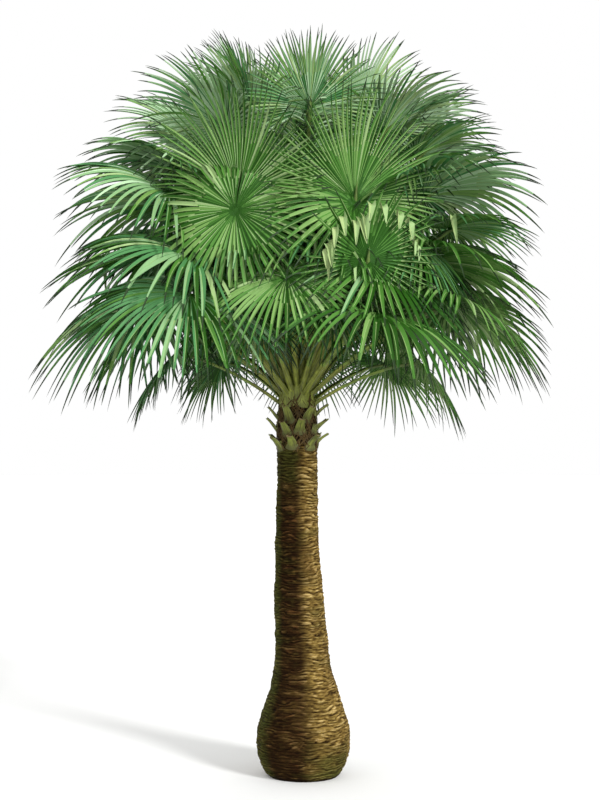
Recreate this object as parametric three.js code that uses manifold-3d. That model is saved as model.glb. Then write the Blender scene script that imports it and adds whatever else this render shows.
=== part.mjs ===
// Cabbage-tree palm: a ringed trunk with a swollen foot, under a round crown of fan-shaped fronds.
// Millimetres, +Z up, the side that the picture shows faces -Y.
// The origin is the middle of the flat cut under the trunk, at ground level.

import * as THREE from 'three';
import Module from 'manifold-3d';

// Trunk: height above the ground and radius, from the cut at the ground to the growing tip.
const TRUNK_STATIONS = [
  [0, 310], [40, 345], [130, 395], [250, 422], [365, 424], [480, 404], [600, 364], [740, 312], [880, 274],
  [1030, 248], [1180, 237], [1400, 231], [1600, 223], [1780, 212], [1960, 200], [2150, 192], [2400, 189],
  [2650, 184], [2900, 181], [3080, 176], [3260, 162], [3420, 140], [3580, 110], [3720, 72], [3820, 30],
];
const TRUNK_SIDES = 24;

// Lean of the trunk: the axis drifts to the left between these heights and stays plumb above them.
const LEAN = -56;
const LEAN_FROM = 700;
const LEAN_TO = 2100;

// Clearance that keeps each piece a body of its own.
const CLEAR = 0.5;

// Whorls of the crown, from the oldest fronds at its foot to the youngest at its heart.
// Bearings are degrees from +X, counted towards +Y. Reach and height place the middle of the fan,
// pitch is how far its forward side points up, roll turns it about that side, spread is the angle
// from its forward side to its last leaflet, and sag is how far the leaflets hang.
const WHORLS = [
  { bearings: [357, 39, 84, 129, 174], foot: 3320, reach: 1080, height: 3760,
    pitch: -42, roll: 10, radius: 680, spread: 140, sag: 0.2 },
  { bearings: [335, 15, 60, 105, 150, 193, 231], foot: 3400, reach: 1400, height: 4210,
    pitch: -18, roll: 20, radius: 1080, spread: 160, sag: 0.28 },
  { bearings: [297], foot: 3400, reach: 1400, height: 4050,
    pitch: -14, roll: 5, radius: 1120, spread: 170, sag: 0.25 },
  { bearings: [340, 19, 61, 103, 145, 184, 221], foot: 3480, reach: 1240, height: 4600,
    pitch: 3, roll: 20, radius: 1080, spread: 165, sag: 0.24 },
  { bearings: [265], foot: 3480, reach: 1350, height: 4380,
    pitch: -40, roll: -10, radius: 820, spread: 172, sag: 0.2 },
  { bearings: [303], foot: 3480, reach: 1150, height: 4480,
    pitch: -28, roll: 5, radius: 1000, spread: 172, sag: 0.12 },
  { bearings: [297], foot: 3560, reach: 1080, height: 5060,
    pitch: -56, roll: 0, radius: 1000, spread: 172, sag: 0.05 },
  { bearings: [244], foot: 3560, reach: 1220, height: 5000,
    pitch: -70, roll: 8, radius: 1000, spread: 172, sag: 0 },
  { bearings: [340, 23, 69, 114, 157, 200], foot: 3560, reach: 1200, height: 5160,
    pitch: 24, roll: 16, radius: 1130, spread: 158, sag: 0.25 },
  { bearings: [223], foot: 3640, reach: 830, height: 5760,
    pitch: 54, roll: 0, radius: 1000, spread: 132, sag: 0.12 },
  { bearings: [277], foot: 3640, reach: 850, height: 5840,
    pitch: 70, roll: 0, radius: 740, spread: 122, sag: 0.05 },
  { bearings: [171, 331, 22, 72, 122], foot: 3640, reach: 880, height: 5720,
    pitch: 42, roll: 20, radius: 1010, spread: 132, sag: 0.18 },
  { bearings: [300, 120], foot: 3720, reach: 180, height: 5900,
    pitch: 70, roll: 25, radius: 760, spread: 115, sag: 0.05 },
];

// How far one frond strays from its whorl.
const STRAY_BEARING = 2;
const STRAY_HEIGHT = 50;
const STRAY_REACH = 0.04;
const STRAY_PITCH = 4;
const STRAY_ROLL = 5;
const STRAY_RADIUS = 0.06;

// Blade of a fan: leaflets joined to the split, free beyond it. Lengths are parts of the radius.
const LEAFLETS = 18;
const SPLIT = 0.41;
const MIDDLE = 0.7;
const MIDDLE_WIDTH = 0.8;
const BACK_SHORT = 0.2;
const CUP = 0.12;
const BOW = 0.25;
const FOLD = 0.3;
const BLADE_THICKNESS = 14;
const HUB_THICKNESS = 34;
const UNDER_TURNS = [0.28, 0.5, 0.72];

// Petiole: width and depth at its foot and at the fan, and how high it arches for its length.
// Where the heart is slim, the foot's width is a share of the heart's radius.
const PETIOLE_FOOT_WIDTH = 72;
const PETIOLE_FOOT_SHARE = 0.58;
const PETIOLE_HUB_WIDTH = 32;
const PETIOLE_FOOT_DEPTH = 34;
const PETIOLE_HUB_DEPTH = 24;
const PETIOLE_ARCH = 0.12;
const PETIOLE_CREST = 0.45;
const PETIOLE_STATIONS = 5;
const PETIOLE_SEAT = 30;

// Boots: the cut leaf bases that stay on the trunk under the crown.
const BOOT_ROWS = [[2930, 7], [3055, 7], [3180, 6]];
const BOOT_LENGTH = 190;
const BOOT_FOOT_WIDTH = 92;
const BOOT_END_WIDTH = 58;
const BOOT_FOOT_DEPTH = 34;
const BOOT_END_DEPTH = 18;
const BOOT_RISE = 52;
const BOOT_SEAT = 35;

// Ways for a leaflet to pass its neighbours: bend towards the face of the fan, and part of its length.
const LEAFLET_CHOICES = [
  [0, 1], [0.35, 1], [-0.35, 1], [0.7, 1], [-0.7, 1], [0, 0.85], [0.5, 0.85], [-0.5, 0.85],
  [0, 0.7], [0.6, 0.7], [-0.6, 0.7], [0, 0.58],
];
const LEAFLET_CLEARANCE = 5;

const BARK = { color: 0x6b5233, roughness: 0.9, metalness: 0 };
const BOOT_SKIN = { color: 0x7d7a3c, roughness: 0.8, metalness: 0 };
const FROND_OUTER = { color: 0x3f7350, roughness: 0.55, metalness: 0 };
const FROND_INNER = { color: 0x5f8f45, roughness: 0.5, metalness: 0 };

const UP = new THREE.Vector3(0, 0, 1);
const wasm = await Module();
wasm.setup();

// A number between -1 and 1 that is always the same for the same frond and use.
function stray(frond, use) {
  const wave = Math.sin(frond * 12.9898 + use * 78.233) * 43758.5453;
  return 2 * (wave - Math.floor(wave)) - 1;
}

function smooth(t) {
  const s = Math.min(Math.max(t, 0), 1);
  return s * s * (3 - 2 * s);
}

function axisX(height) {
  return LEAN * smooth((height - LEAN_FROM) / (LEAN_TO - LEAN_FROM));
}

function trunkRadius(height) {
  const next = TRUNK_STATIONS.findIndex(([station]) => station >= height);
  const [z1, r1] = TRUNK_STATIONS[next];
  const [z0, r0] = TRUNK_STATIONS[Math.max(next - 1, 0)];
  return z1 === z0 ? r1 : r0 + (r1 - r0) * (height - z0) / (z1 - z0);
}

// A closed solid from its corners and the triangles between them.
function solidOf(corners, triangles) {
  const vertProperties = new Float32Array(corners.flatMap((corner) => corner.toArray()));
  const triVerts = new Uint32Array(triangles.flat());
  return new wasm.Manifold(new wasm.Mesh({ numProp: 3, vertProperties, triVerts }));
}

// A closed solid from rings of corners with one outline, capped at both ends by the given triangles.
function solidOfRings(rings, cap) {
  const sides = rings[0].length;
  const triangles = [];
  for (let ring = 0; ring + 1 < rings.length; ring += 1) {
    for (let side = 0; side < sides; side += 1) {
      const a = ring * sides + side;
      const b = ring * sides + (side + 1) % sides;
      triangles.push([a, b, b + sides], [a, b + sides, a + sides]);
    }
  }
  const last = (rings.length - 1) * sides;
  for (const [a, b, c] of cap) {
    triangles.push([a, c, b], [last + a, last + b, last + c]);
  }
  return solidOf(rings.flat(), triangles);
}

function trunkSolid(growth) {
  const rings = TRUNK_STATIONS.map(([height, radius]) => {
    const ring = [];
    for (let side = 0; side < TRUNK_SIDES; side += 1) {
      const turn = 2 * Math.PI * side / TRUNK_SIDES;
      const reach = radius + growth;
      ring.push(new THREE.Vector3(axisX(height) + reach * Math.cos(turn), reach * Math.sin(turn), height));
    }
    return ring;
  });
  const cap = [];
  for (let side = 1; side + 1 < TRUNK_SIDES; side += 1) {
    cap.push([0, side, side + 1]);
  }
  return solidOfRings(rings, cap);
}

// Every frond with its own place, directions and size.
function layOutFronds() {
  const fronds = [];
  for (const whorl of WHORLS) {
    for (const bearing of whorl.bearings) {
      const number = fronds.length;
      const turn = THREE.MathUtils.degToRad(bearing + STRAY_BEARING * stray(number, 1));
      const height = whorl.height + STRAY_HEIGHT * stray(number, 2);
      const reach = whorl.reach * (1 + STRAY_REACH * stray(number, 3));
      const pitch = THREE.MathUtils.degToRad(whorl.pitch + STRAY_PITCH * stray(number, 4));
      const roll = THREE.MathUtils.degToRad(whorl.roll + STRAY_ROLL * stray(number, 5));
      const outward = new THREE.Vector3(Math.cos(turn), Math.sin(turn), 0);
      const across = new THREE.Vector3(-Math.sin(turn), Math.cos(turn), 0);
      const level = outward.clone().multiplyScalar(-Math.sin(pitch)).addScaledVector(UP, Math.cos(pitch));
      fronds.push({
        whorl,
        across,
        hub: new THREE.Vector3(axisX(height), 0, height).addScaledVector(outward, reach),
        foot: new THREE.Vector3(axisX(whorl.foot), 0, whorl.foot)
          .addScaledVector(outward, trunkRadius(whorl.foot) - PETIOLE_SEAT),
        forward: outward.clone().multiplyScalar(Math.cos(pitch)).addScaledVector(UP, Math.sin(pitch)),
        face: level.clone().multiplyScalar(Math.cos(roll)).addScaledVector(across, Math.sin(roll)),
        side: across.clone().multiplyScalar(Math.cos(roll)).addScaledVector(level, -Math.sin(roll)),
        radius: whorl.radius * (1 + STRAY_RADIUS * stray(number, 6)),
        spread: THREE.MathUtils.degToRad(whorl.spread),
        choices: [],
      });
    }
  }
  return fronds;
}

// The run of a leaflet at an angle from the forward side, at a part of its length.
function bladePoint(frond, angle, along, bend) {
  const run = frond.forward.clone().multiplyScalar(Math.cos(angle))
    .addScaledVector(frond.side, Math.sin(angle));
  const length = frond.radius * (1 - BACK_SHORT * (angle / frond.spread) ** 2);
  const free = Math.max(along - SPLIT, 0);
  const level = run.z > 0 ? Math.sqrt(Math.max(0.04, 1 - run.z ** 2)) : 1;
  return frond.hub.clone()
    .addScaledVector(run, length * along)
    .addScaledVector(frond.face, length * (CUP * along - BOW * along ** 2 + bend * free ** 2))
    .addScaledVector(UP, -length * frond.whorl.sag * level * along ** 3);
}

// The corners of one leaflet: its section at the split, its section halfway out and its tip.
function leafletCorners(frond, index, [bend, part], extra) {
  const step = 2 * frond.spread / LEAFLETS;
  const angle = -frond.spread + (index + 0.5) * step;
  const length = frond.radius * (1 - BACK_SHORT * (angle / frond.spread) ** 2);
  const across = frond.side.clone().multiplyScalar(Math.cos(angle))
    .addScaledVector(frond.forward, -Math.sin(angle));
  const half = SPLIT * length * Math.tan(step / 2);
  const thick = BLADE_THICKNESS / 2 + extra;
  const middle = SPLIT + (MIDDLE - SPLIT) * part;
  const tip = SPLIT + (1 - SPLIT) * part;
  const shift = (point, sideways, raised) => point.addScaledVector(across, sideways)
    .addScaledVector(frond.face, raised);
  const halfMiddle = MIDDLE_WIDTH * half;
  return {
    left: shift(bladePoint(frond, angle - step / 2, SPLIT, 0), 0, FOLD * half / 2),
    right: shift(bladePoint(frond, angle + step / 2, SPLIT, 0), 0, FOLD * half / 2),
    top: shift(bladePoint(frond, angle, SPLIT, 0), 0, -FOLD * half / 2 + thick),
    bottom: shift(bladePoint(frond, angle, SPLIT, 0), 0, -FOLD * half / 2 - thick),
    middleLeft: shift(bladePoint(frond, angle, middle, bend), -halfMiddle - extra, FOLD * halfMiddle / 2),
    middleRight: shift(bladePoint(frond, angle, middle, bend), halfMiddle + extra, FOLD * halfMiddle / 2),
    middleTop: shift(bladePoint(frond, angle, middle, bend), 0, -FOLD * halfMiddle / 2 + thick),
    middleBottom: shift(bladePoint(frond, angle, middle, bend), 0, -FOLD * halfMiddle / 2 - thick),
    tip: bladePoint(frond, angle, tip, bend),
  };
}

// The triangles of a leaflet's free part, between its own corners.
function freeTriangles({ left, right, top, bottom, middleLeft, middleRight, middleTop, middleBottom, tip }) {
  return [
    [left, middleLeft, middleTop], [left, middleTop, top],
    [top, middleTop, middleRight], [top, middleRight, right],
    [left, bottom, middleBottom], [left, middleBottom, middleLeft],
    [bottom, right, middleRight], [bottom, middleRight, middleBottom],
    [middleLeft, tip, middleTop], [middleTop, tip, middleRight],
    [middleLeft, middleBottom, tip], [middleBottom, middleRight, tip],
  ];
}

// The free part of one leaflet alone, closed at the split, to try it against what is placed.
function leafletSolid(frond, index, choice) {
  const corners = leafletCorners(frond, index, choice, LEAFLET_CLEARANCE);
  const names = Object.keys(corners);
  const numbers = Object.fromEntries(names.map((name, number) => [name, number]));
  const { left, right, top, bottom } = numbers;
  const triangles = [...freeTriangles(numbers), [left, top, bottom], [right, bottom, top]];
  return solidOf(names.map((name) => corners[name]), triangles);
}

// The corners of the petiole's section, between its foot at 0 and the fan at 1. The last section lies
// flat against the underside of the hub.
function petioleRing(frond, t) {
  const span = frond.hub.clone().sub(frond.foot);
  const crest = frond.foot.clone().addScaledVector(span, PETIOLE_CREST)
    .addScaledVector(UP, PETIOLE_ARCH * span.length());
  const middle = frond.foot.clone().multiplyScalar((1 - t) ** 2)
    .addScaledVector(crest, 2 * t * (1 - t))
    .addScaledVector(frond.hub, t ** 2);
  const heading = crest.clone().sub(frond.foot).multiplyScalar(1 - t)
    .addScaledVector(frond.hub.clone().sub(crest), t)
    .normalize();
  let across = frond.across;
  let above = heading.clone().cross(across);
  if (t === 1) {
    across = frond.side;
    above = frond.forward.clone().negate();
    middle.addScaledVector(frond.face, -HUB_THICKNESS / 2);
  }
  const narrow = Math.sqrt(t);
  const footWidth = Math.min(PETIOLE_FOOT_WIDTH, PETIOLE_FOOT_SHARE * trunkRadius(frond.whorl.foot));
  const half = THREE.MathUtils.lerp(footWidth, PETIOLE_HUB_WIDTH, narrow) / 2;
  const depth = THREE.MathUtils.lerp(PETIOLE_FOOT_DEPTH, PETIOLE_HUB_DEPTH, narrow);
  const corner = (sideways, raised) => middle.clone().addScaledVector(across, sideways)
    .addScaledVector(above, raised);
  return [
    corner(half, 0.3 * depth),
    corner(-half, 0.3 * depth),
    corner(-0.4 * half, -0.7 * depth),
    corner(0.4 * half, -0.7 * depth),
  ];
}

// One frond: the petiole, flat above and keeled below, and the whole fan that it carries.
// A leaflet without a choice ends at the split.
function frondSolid(frond) {
  const corners = [];
  const triangles = [];
  const add = (corner) => corners.push(corner) - 1;
  let ring = petioleRing(frond, 0).map(add);
  triangles.push([ring[0], ring[2], ring[1]], [ring[0], ring[3], ring[2]]);
  for (let station = 1; station < PETIOLE_STATIONS; station += 1) {
    const next = petioleRing(frond, station / (PETIOLE_STATIONS - 1)).map(add);
    for (let edge = 0; edge < 4; edge += 1) {
      const over = (edge + 1) % 4;
      triangles.push([ring[edge], ring[over], next[over]], [ring[edge], next[over], next[edge]]);
    }
    ring = next;
  }
  const hub = add(frond.hub.clone().addScaledVector(frond.face, HUB_THICKNESS / 2));
  // The underside is joined to the four corners of the petiole in turn.
  const under = [ring[1], ring[2], ring[3], ring[0]];
  let quarter = 0;
  let left = null;
  let first = null;
  for (let index = 0; index < LEAFLETS; index += 1) {
    const choice = frond.choices[index];
    const points = leafletCorners(frond, index, choice ?? LEAFLET_CHOICES[0], 0);
    left = left ?? add(points.left);
    first = first ?? left;
    const right = add(points.right);
    const top = add(points.top);
    const bottom = add(points.bottom);
    triangles.push([hub, left, top], [hub, top, right]);
    if (index === Math.round(LEAFLETS * UNDER_TURNS[quarter])) {
      triangles.push([under[quarter], under[quarter + 1], left]);
      quarter += 1;
    }
    triangles.push([under[quarter], bottom, left], [under[quarter], right, bottom]);
    if (choice) {
      triangles.push(...freeTriangles({
        left,
        right,
        top,
        bottom,
        middleLeft: add(points.middleLeft),
        middleRight: add(points.middleRight),
        middleTop: add(points.middleTop),
        middleBottom: add(points.middleBottom),
        tip: add(points.tip),
      }));
    } else {
      triangles.push([left, bottom, top], [right, top, bottom]);
    }
    left = right;
  }
  triangles.push([hub, under[0], first], [hub, left, under[3]], [hub, under[3], under[0]]);
  return solidOf(corners, triangles);
}

// A boot: a channelled stub that leans up and out from the trunk and ends in a plain cut.
function bootSolid(turn, height, length) {
  const outward = new THREE.Vector3(Math.cos(turn), Math.sin(turn), 0);
  const across = new THREE.Vector3(-Math.sin(turn), Math.cos(turn), 0);
  const rise = THREE.MathUtils.degToRad(BOOT_RISE);
  const heading = outward.clone().multiplyScalar(Math.cos(rise)).addScaledVector(UP, Math.sin(rise));
  const above = heading.clone().cross(across);
  const foot = new THREE.Vector3(axisX(height), 0, height)
    .addScaledVector(outward, trunkRadius(height) - BOOT_SEAT);
  const rings = [0, 0.5, 1].map((t) => {
    const half = THREE.MathUtils.lerp(BOOT_FOOT_WIDTH, BOOT_END_WIDTH, t) / 2;
    const depth = THREE.MathUtils.lerp(BOOT_FOOT_DEPTH, BOOT_END_DEPTH, t);
    const corner = (sideways, raised) => foot.clone().addScaledVector(heading, length * t)
      .addScaledVector(across, sideways)
      .addScaledVector(above, raised);
    return [
      corner(-half, 0.35 * depth), corner(-0.55 * half, -0.65 * depth), corner(0.55 * half, -0.65 * depth),
      corner(half, 0.35 * depth), corner(0.4 * half, 0), corner(-0.4 * half, 0),
    ];
  });
  return solidOfRings(rings, [[0, 1, 5], [1, 2, 5], [2, 4, 5], [2, 3, 4]]);
}

function boxesApart(one, other) {
  return one.max.some((far, axis) => far < other.min[axis] || other.max[axis] < one.min[axis]);
}

function meets(solid, others) {
  const box = solid.boundingBox();
  return others.some((other) => !boxesApart(box, other.box)
    && solid.intersect(other.solid).volume() > 0);
}

function placed(solid) {
  return { solid, box: solid.boundingBox() };
}

// Chooses how each leaflet runs, so that it stays clear of the other fronds and of the trunk.
// The fans nearest the front are filled first.
function chooseLeaflets(fronds, trunk, boots) {
  const bodies = fronds.map((frond) => [placed(frondSolid(frond))]);
  const order = [...fronds.keys()].sort((one, other) => fronds[one].hub.y - fronds[other].hub.y);
  for (const number of order) {
    const frond = fronds[number];
    const others = bodies.filter((body, other) => other !== number).flat().concat(trunk, boots);
    const own = [];
    for (let index = 0; index < LEAFLETS; index += 1) {
      const choice = LEAFLET_CHOICES.find((way) => !meets(leafletSolid(frond, index, way), others));
      frond.choices[index] = choice;
      if (choice) {
        own.push(placed(leafletSolid(frond, index, choice)));
      }
    }
    bodies[number].push(...own);
  }
}

function meshOf(name, solid, skin) {
  const { vertProperties, triVerts } = solid.getMesh();
  const geometry = new THREE.BufferGeometry();
  geometry.setAttribute('position', new THREE.BufferAttribute(vertProperties, 3));
  geometry.setIndex(new THREE.BufferAttribute(triVerts, 1));
  geometry.computeVertexNormals();
  const mesh = new THREE.Mesh(geometry, new THREE.MeshStandardMaterial(skin));
  mesh.name = name;
  return mesh;
}

const part = new THREE.Group();
part.name = 'cabbage_tree_palm';

const cutter = trunkSolid(CLEAR);
part.add(meshOf('trunk', trunkSolid(0), BARK));

const boots = [];
for (const [row, [height, count]] of BOOT_ROWS.entries()) {
  for (let place = 0; place < count; place += 1) {
    const number = boots.length;
    const turn = 2 * Math.PI * (place + row / 2 + 0.12 * stray(number, 7)) / count;
    const length = BOOT_LENGTH * (1 + 0.12 * stray(number, 8));
    boots.push(bootSolid(turn, height + 18 * stray(number, 9), length).subtract(cutter));
  }
}
for (const [number, boot] of boots.entries()) {
  part.add(meshOf(`boot_${String(number + 1).padStart(2, '0')}`, boot, BOOT_SKIN));
}

const fronds = layOutFronds();
chooseLeaflets(fronds, [placed(cutter)], boots.map(placed));
for (const [number, frond] of fronds.entries()) {
  const solid = frondSolid(frond).subtract(cutter);
  const skin = frond.whorl.foot < 3500 ? FROND_OUTER : FROND_INNER;
  part.add(meshOf(`frond_${String(number + 1).padStart(2, '0')}`, solid, skin));
}

export default part;
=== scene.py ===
"""Cabbage-tree palm: bark, leaf bases, stalks and fans made around the fixed solids of the palm.

Metres and degrees. +Z is up the trunk and -Y is the side that the picture shows.
"""
import math

import bpy
import numpy as np
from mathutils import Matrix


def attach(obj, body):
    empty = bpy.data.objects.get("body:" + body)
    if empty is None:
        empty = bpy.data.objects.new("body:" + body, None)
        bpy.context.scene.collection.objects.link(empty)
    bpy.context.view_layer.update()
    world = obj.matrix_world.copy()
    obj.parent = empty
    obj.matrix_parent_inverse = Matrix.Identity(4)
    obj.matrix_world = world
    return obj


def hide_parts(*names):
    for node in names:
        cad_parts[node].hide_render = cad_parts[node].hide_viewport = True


bl_info = {
    "name": "Cabbage-tree palm",
    "version": (1, 0, 0),
    "blender": (4, 5, 0),
    "location": "3D View > Sidebar > Palm",
    "description": "Builds the bark, leaf bases, stalks and fans of a cabbage-tree palm",
    "category": "Add Mesh",
}

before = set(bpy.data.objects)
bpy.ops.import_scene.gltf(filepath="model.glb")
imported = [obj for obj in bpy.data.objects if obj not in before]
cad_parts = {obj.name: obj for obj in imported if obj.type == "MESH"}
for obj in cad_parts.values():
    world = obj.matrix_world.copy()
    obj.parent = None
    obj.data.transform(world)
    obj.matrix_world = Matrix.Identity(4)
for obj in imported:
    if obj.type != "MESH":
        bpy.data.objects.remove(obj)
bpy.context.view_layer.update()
FROND_NODES = sorted(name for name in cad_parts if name.startswith("frond"))
BOOT_NODES = sorted(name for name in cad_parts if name.startswith("boot"))

# Trunk: height above the ground and radius, from the cut at the ground to the growing tip.
TRUNK_STATIONS = [
    (0, .310), (.040, .345), (.130, .395), (.250, .422), (.365, .424), (.480, .404), (.600, .364),
    (.740, .312), (.880, .274), (1.030, .248), (1.180, .237), (1.400, .231), (1.600, .223),
    (1.780, .212), (1.960, .200), (2.150, .192), (2.400, .189), (2.650, .184), (2.900, .181),
    (3.080, .176), (3.260, .162), (3.420, .140), (3.580, .110), (3.720, .072), (3.820, .030),
]
TRUNK_TOP = TRUNK_STATIONS[-1][0]
RINGED_TO = 3.06
LEAN = -.056
LEAN_FROM = .7
LEAN_TO = 2.1

# Whorls of the crown, from the oldest fronds at its foot to the youngest at its heart: bearings of the
# fronds, height of their feet, reach, height, pitch and roll of their fans, radius and spread of a blade,
# how much it sags, and which mix of greens it has. Some say how many times as often as elsewhere the ends
# of rising leaflets hang over, and how much wider the dark middle of painted shade is.
WHORL_WORDS = ("bearings", "foot", "reach", "height", "pitch", "roll", "radius", "spread", "sag", "green",
               "snap", "star")
WHORLS = [
    ((357, 39, 84, 129, 174), 3.32, 1.08, 3.76, -42, 10, .68, 140, .2, "blue"),
    ((335, 15, 60, 105, 150, 193, 231), 3.4, 1.4, 4.21, -18, 20, 1.08, 160, .28, "blue"),
    ((297,), 3.4, 1.4, 4.05, -14, 5, 1.12, 170, .25, "dark", 22),
    ((340, 19, 61, 103, 145, 184, 221), 3.48, 1.24, 4.6, 3, 20, 1.08, 165, .24, "blue"),
    ((265,), 3.48, 1.35, 4.38, -40, -10, .82, 172, .2, "fresh", 1, 1),
    ((303,), 3.48, 1.15, 4.48, -28, 5, 1., 172, .12, "middle", 22),
    ((297,), 3.56, 1.08, 5.06, -56, 0, 1., 172, .05, "rich", 1, 2),
    ((244,), 3.56, 1.22, 5., -70, 8, 1., 172, 0, "fresh", 1, 1),
    ((340, 23, 69, 114, 157, 200), 3.56, 1.2, 5.16, 24, 16, 1.13, 158, .25, "airy"),
    ((223,), 3.64, .83, 5.76, 54, 0, 1., 132, .12, "young"),
    ((277,), 3.64, .85, 5.84, 70, 0, .74, 122, .05, "airy"),
    ((171, 331, 22, 72, 122), 3.64, .88, 5.72, 42, 20, 1.01, 132, .18, "light"),
    ((300, 120), 3.72, .18, 5.9, 70, 25, .76, 115, .05, "light"),
]
# Smaller fans between the whorls, which fill the crown within the reach of the others.
INNER_WHORLS = [
    ((272, 325, 214, 25, 90, 150), 3.6, .66, 5.36, -58, 6, .92, 172, .06, "middle"),
    ((284, 350, 50, 110, 165, 232), 3.5, .78, 4.75, -8, -12, .92, 160, .24, "blue"),
    ((192, 75), 3.7, .5, 5.93, 76, 0, .8, 125, .05, "young"),
    ((352, 140), 3.62, .98, 5.7, 48, 10, .84, 130, .15, "light"),
    ((346, 166), 3.5, 1.34, 4.86, 8, 15, .82, 150, .2, "middle"),
    ((293,), 3.5, 1.5, 4.5, 74, 0, .76, 172, 0, "shaded", 25, 2),
    ((247, 289, 214, 333, 20, 70, 115, 160), 3.42, .84, 4.16, -64, 8, .62, 165, .1, "blue"),
    ((350, 187, 32, 76, 118, 152), 3.6, 1.04, 5.42, 27, -12, .93, 155, .2, "light"),
    ((236, 322, 55, 128), 3.68, .7, 5.82, 62, 8, .8, 128, .1, "young"),
    ((242,), 3.64, 1.04, 5.09, 82, 0, 1.08, 95, .04, "fresh"),
    ((296,), 3.64, 1.04, 5.09, 82, 0, 1.08, 95, .04, "rich"),
    ((256, 312, 30, 210), 3.55, .62, 5., -30, 10, .85, 165, .15, "blue"),
    ((222, 44), 3.68, .62, 5.99, 66, 0, .73, 128, .05, "young"),
    ((338, 98), 3.6, 1.14, 5.45, 36, 10, .86, 140, .12, "airy"),
    ((322, 146), 3.5, 1.2, 4.74, -50, 8, .8, 168, .12, "middle"),
    ((15, 135, 255), 3.74, .1, 5.5, 46, 0, .64, 150, .05, "young"),
]
# The most that a frond strays from its whorl, in degrees, metres or parts.
STRAYS = dict(bearing=2, height=.05, reach=.04, pitch=4, roll=5, radius=.06)
# Older fans are yellower and lighter, as painted sunlight, where their direction outward has at least this
# much of +X, the side of the main light.
SUNNY_FROM = .5
# Fans that rise more steeply than this have no ends that hang over, where their whorl doesn't say so.
STEEP = 20

# Blade of a fan: leaflets joined to the split and free beyond it. Lengths are parts of the radius.
LEAFLETS = 18
SPLIT = .41
BACK_SHORT = .2
CUP = .12
BOW = .25
HUB_THICKNESS = .034
HUB_RISE = .008
# A fan that opens at least this far closes at the back, but for a narrow gap.
CLOSED = math.radians(170)
BACK_GAP = .02
JOINED_SHARES = np.array([.06, .17, .28, .4, .52, .64, .76, .88, 1.])
FREE_SHARES = np.array([0, .1, .2, .3, .4, .5, .6, .7, .79, .87, .94, 1.])
WIDTH_AT = [0, .12, .3, .45, .6, .75, .87, .94, 1]
WIDTH_SHARE = [1, .98, .9, .79, .64, .47, .31, .2, 0]
# Light line on a fold and rib in a valley, as parts of a leaflet's half width. In the joined part the line
# is a painted highlight and the rib a strip of painted shade, the other way round on fans whose upper side
# faces inward.
RIDGE_LINE = .16
VALLEY_RIB = .28
# Where the corners of a leaflet lie across it: margin, both sides of the rib, other margin.
ACROSS_LEAFLET = [0, .48, .52, 1]
# Ends that hang over: how far their leaflets must rise, their length and greatest width for those of the
# leaflet, how they narrow, and how far they lean outward, swing sideways and stand off the blade.
RISING_FROM = .12
HANGING_LENGTH = .72
HANGING_WIDTH = 1.9
HANGING_TAPER = .75
HANGING_LEAN = .14
HANGING_SWING = .15
HANGING_GAP = .015

# Petiole: widths and depths at its foot and at the fan, the most that its foot may be as wide as for the
# trunk's radius there, and how high it arches for its length.
PETIOLE_WIDTHS = (.072, .032)
PETIOLE_DEPTHS = (.034, .024)
PETIOLE_FOOT_SHARE = .58
PETIOLE_ARCH = .12
PETIOLE_CREST = .45
PETIOLE_SEAT = .03
# Rib under the blade: its length for the blade's, and how far its end lies under the blade.
RIB_REACH = .16
RIB_DEPTH = .012
# Where along a stalk its foot ends and its top starts, and where its teeth start and for how far.
STALK_PARTS = (.3, .72)
TEETH_FROM = .12
TEETH_FOR = .6

# Boots: the cut leaf bases that stay on the trunk under the crown, in rows of a height and a count, and
# their widths and depths at the foot and the end.
BOOT_ROWS = [(2.93, 7), (3.055, 7), (3.18, 6)]
BOOT_LENGTH = .19
BOOT_WIDTHS = (.092, .058)
BOOT_DEPTHS = (.034, .018)
BOOT_RISE = math.radians(52)
BOOT_SEAT = .035
BOOT_STRAY = .12
BOOT_STRAY_HEIGHT = .018

UP = np.array([0., 0., 1.])
WHITE = (1, 1, 1)

# Patches of the bark: bearing of the middle, reach and fade in degrees, and strength. The first are painted
# shade, darker and redder on the sides turned from the main light. The olive patches are moss, and on the
# left rim they also stand in for green reflected light.
PAINTED_SHADE_PATCHES = ((241, 58, 38, 1), (62, 60, 40, .75))
SIDE_GROWTH_AND_REFLECTION = ((196, 34, 26, .95), (20, 34, 26, .8))
FOOT_GROWTH = (322, 60, 44, .9)
UPPER_GROWTH = (236, 60, 40, .6)

# Camera, with its lens and the height of its film in millimetres, and corners of the round floor.
CAMERA_PLACE = (-.0315, -15, 3.3705)
LENS = 66.67
FILM_HEIGHT = 32
FLOOR_CORNERS = 96

# Greens of the leaf, in the order of the fans' material slots.
GREENS = ("deep", "green", "fresh", "light", "blue", "grey", "bloom", "tip", "pale", "rib")
DEEP, GREEN, FRESH, LIGHT, BLUE, GREY, BLOOM, TIP, PALE, RIB = range(len(GREENS))
# Mixes of greens: the one of the light lines on the folds of the joined part, which are painted highlights,
# and the shares of leaflets.
MIXES = {
    "fresh": ("light", dict(deep=.08, green=.34, fresh=.36, light=.22)),
    "rich": ("fresh", dict(deep=.14, green=.42, fresh=.36, light=.08)),
    "sunny": ("light", dict(green=.26, fresh=.52, light=.22)),
    "middle": ("light", dict(green=.35, fresh=.3, blue=.2, grey=.15)),
    "blue": ("grey", dict(blue=.36, grey=.18, green=.23, deep=.13, light=.1)),
    "airy": ("bloom", dict(grey=.36, blue=.26, fresh=.18, light=.12, bloom=.08)),
    "light": ("bloom", dict(bloom=.42, light=.3, grey=.25, blue=.03)),
    "young": ("bloom", dict(bloom=.62, light=.26, grey=.12)),
    "dark": ("fresh", dict(deep=.35, green=.4, fresh=.25)),
    "shaded": ("green", dict(deep=.8, green=.2)),
}
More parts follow.
